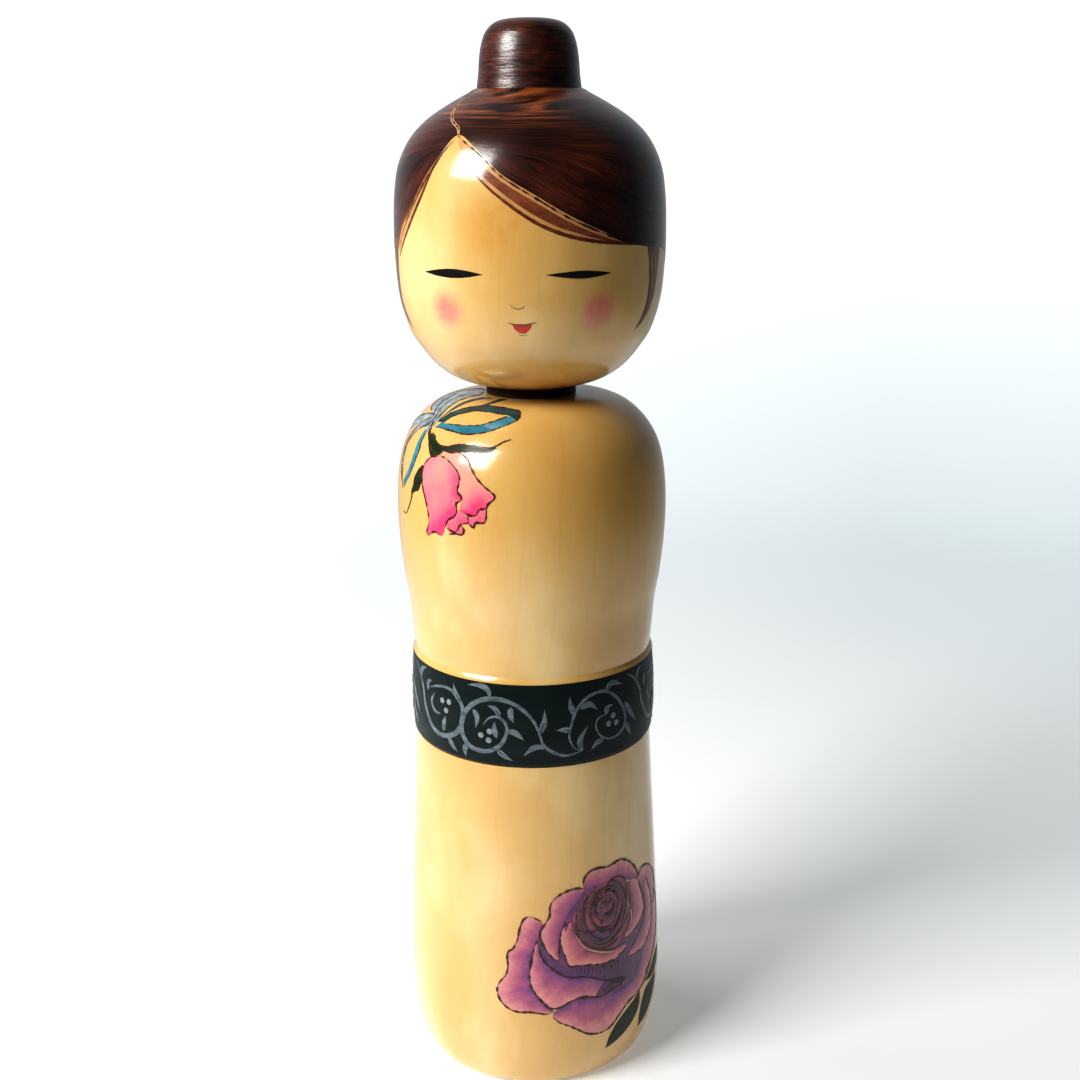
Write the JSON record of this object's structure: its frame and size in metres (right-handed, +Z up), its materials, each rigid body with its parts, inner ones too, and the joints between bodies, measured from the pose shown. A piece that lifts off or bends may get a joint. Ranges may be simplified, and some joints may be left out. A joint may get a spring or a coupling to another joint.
{
  "type": "kokeshi doll",
  "caption": "Limbless lathe-turned wooden doll with a raised sash band on its body, a turning head on a peg and a round topknot.",
  "frame": {"origin": "centre of the foot, on the surface that the doll stands on", "axes": "+Z up along the turning axis; the face looks towards -Y and the doll's left hand side is +X"},
  "size_m": [0.0764, 0.0764, 0.3],
  "materials": {
    "turned_wood": "pale close-grained wood under clear satin lacquer",
    "stained_wood": "dark red-brown stain under clear gloss lacquer",
    "peg_wood": "bare sanded dowel"
  },
  "bodies": {
    "trunk": {"body": "turned_wood"},
    "head_group": {"head": "turned_wood", "topknot": "stained_wood", "neck_peg": "peg_wood", "topknot_peg": "peg_wood"}
  },
  "joints": [
    {"name": "head_turn", "type": "hinge", "parent": "trunk", "child": "head_group", "pos_m": [0, 0, 0.201], "axis": [0, 0, 1], "continuous": true}
  ]
}
